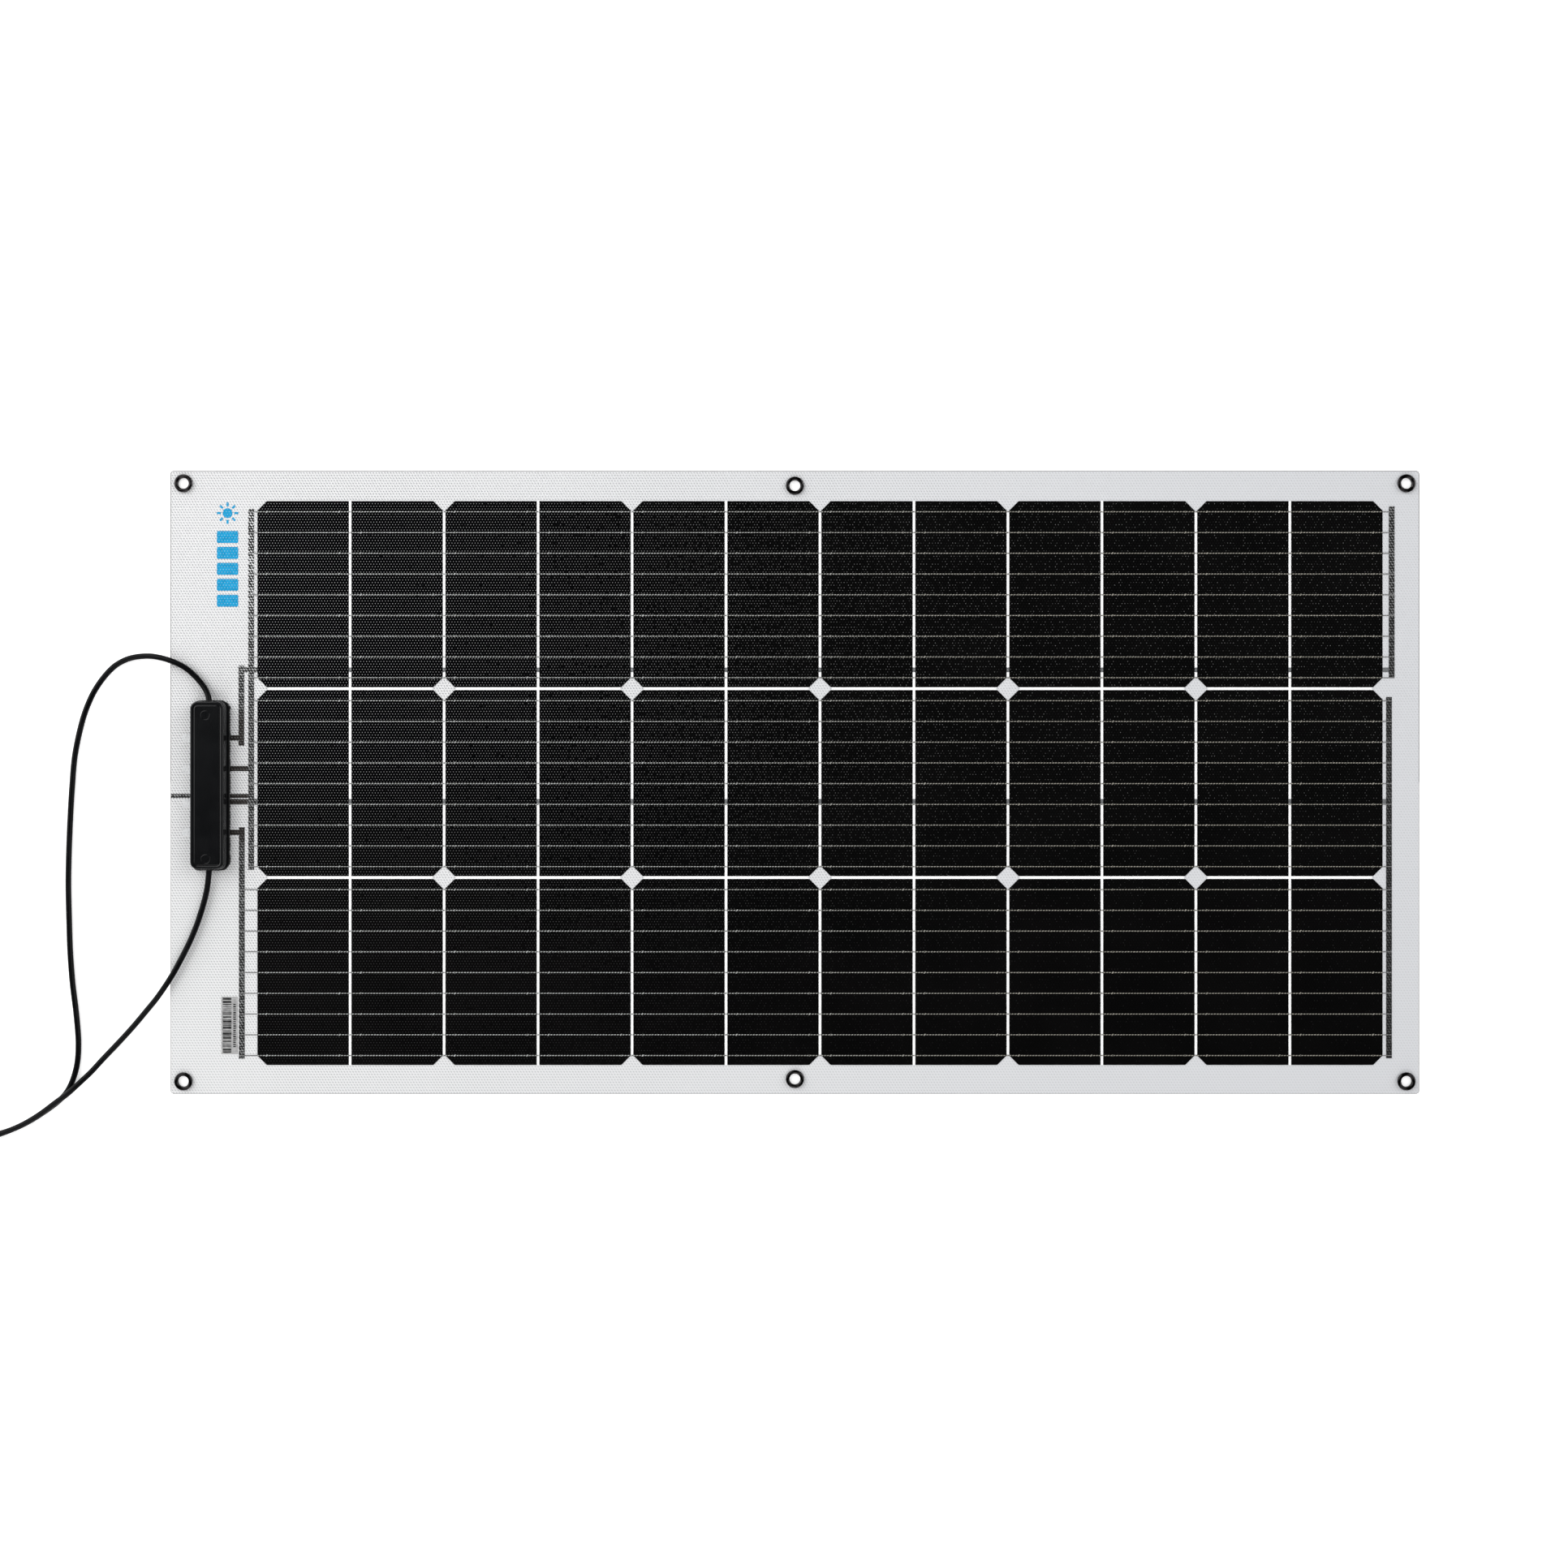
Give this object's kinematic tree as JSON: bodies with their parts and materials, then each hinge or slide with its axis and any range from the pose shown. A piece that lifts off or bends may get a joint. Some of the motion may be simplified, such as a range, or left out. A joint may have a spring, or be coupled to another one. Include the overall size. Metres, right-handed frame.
{
  "type": "flexible solar sheet",
  "caption": "Thin flexible photovoltaic sheet with half-cut cells under an embossed clear film, eyelets round the edge, a bonded junction box and two plug-in leads",
  "frame": {"origin": "centre of the sheet's outline, on the surface that it lies on", "axes": "+X along the long side away from the junction box, +Y along the short side, +Z out of the light side"},
  "size_m": [1.2906, 0.7007, 0.016],
  "materials": {
    "front_film": "clear embossed film",
    "rear_sheet": "white sheet",
    "cell": "near-black silicon",
    "eyelet": "black nickel",
    "ribbon": "tinned copper",
    "terminal": "tinned",
    "diode": "moulded epoxy",
    "box_plastic": "fine moulded",
    "sealant": "cured silicone",
    "cable_jacket": "satin jacket",
    "connector": "moulded"
  },
  "bodies": {
    "panel_1": {"rear_sheet_1": "rear_sheet", "front_sheet_1": "front_film", "cell_pair_1_row_1": "cell", "cell_pair_1_row_2": "cell", "cell_pair_1_row_3": "cell", "eyelet_left_rear": "eyelet", "eyelet_left_front": "eyelet", "ribbon_string_1_2": "ribbon", "ribbon_return_upper": "ribbon", "ribbon_string_end": "ribbon", "ribbon_return_lower": "ribbon", "box_bond": "sealant", "box_base": "box_plastic", "terminal_1": "terminal", "terminal_2": "terminal", "terminal_3": "terminal", "terminal_4": "terminal", "bypass_diode_1": "diode", "bypass_diode_2": "diode", "bypass_diode_3": "diode", "lead_gland_rear": "box_plastic", "lead_gland_front": "box_plastic", "lead_rear": "cable_jacket", "lead_rear_coil": "cable_jacket", "connector_rear": "connector", "lead_front": "cable_jacket", "lead_front_coil": "cable_jacket", "connector_front": "connector"},
    "panel_2": {"rear_sheet_2": "rear_sheet", "front_sheet_2": "front_film", "cell_pair_2_row_1": "cell", "cell_pair_2_row_2": "cell", "cell_pair_2_row_3": "cell"},
    "panel_3": {"rear_sheet_3": "rear_sheet", "front_sheet_3": "front_film", "cell_pair_3_row_1": "cell", "cell_pair_3_row_2": "cell", "cell_pair_3_row_3": "cell", "eyelet_middle_rear": "eyelet", "eyelet_middle_front": "eyelet"},
    "panel_4": {"rear_sheet_4": "rear_sheet", "front_sheet_4": "front_film", "cell_pair_4_row_1": "cell", "cell_pair_4_row_2": "cell", "cell_pair_4_row_3": "cell"},
    "panel_5": {"rear_sheet_5": "rear_sheet", "front_sheet_5": "front_film", "cell_pair_5_row_1": "cell", "cell_pair_5_row_2": "cell", "cell_pair_5_row_3": "cell"},
    "panel_6": {"rear_sheet_6": "rear_sheet", "front_sheet_6": "front_film", "cell_pair_6_row_1": "cell", "cell_pair_6_row_2": "cell", "cell_pair_6_row_3": "cell", "eyelet_right_rear": "eyelet", "eyelet_right_front": "eyelet", "ribbon_right_upper": "ribbon", "ribbon_right_lower": "ribbon"},
    "lid": {"box_lid": "box_plastic"}
  },
  "joints": [
    {"name": "bend_1", "type": "hinge", "parent": "panel_1", "child": "panel_2", "pos_m": [-0.2994, 0, 0.00125], "axis": [0, -1, 0], "range_deg": [0, 6], "stiffness_Nm_per_rad": 15},
    {"name": "bend_2", "type": "hinge", "parent": "panel_2", "child": "panel_3", "pos_m": [-0.139, 0, 0.00125], "axis": [0, -1, 0], "range_deg": [0, 6], "stiffness_Nm_per_rad": 15},
    {"name": "bend_3", "type": "hinge", "parent": "panel_3", "child": "panel_4", "pos_m": [0.0214, 0, 0.00125], "axis": [0, -1, 0], "range_deg": [0, 6], "stiffness_Nm_per_rad": 15},
    {"name": "bend_4", "type": "hinge", "parent": "panel_4", "child": "panel_5", "pos_m": [0.1818, 0, 0.00125], "axis": [0, -1, 0], "range_deg": [0, 6], "stiffness_Nm_per_rad": 15},
    {"name": "bend_5", "type": "hinge", "parent": "panel_5", "child": "panel_6", "pos_m": [0.3422, 0, 0.00125], "axis": [0, -1, 0], "range_deg": [0, 6], "stiffness_Nm_per_rad": 15},
    {"name": "lid_lift", "type": "slide", "parent": "panel_1", "child": "lid", "axis": [0, 0, 1], "range_m": [0, 0.02]}
  ]
}
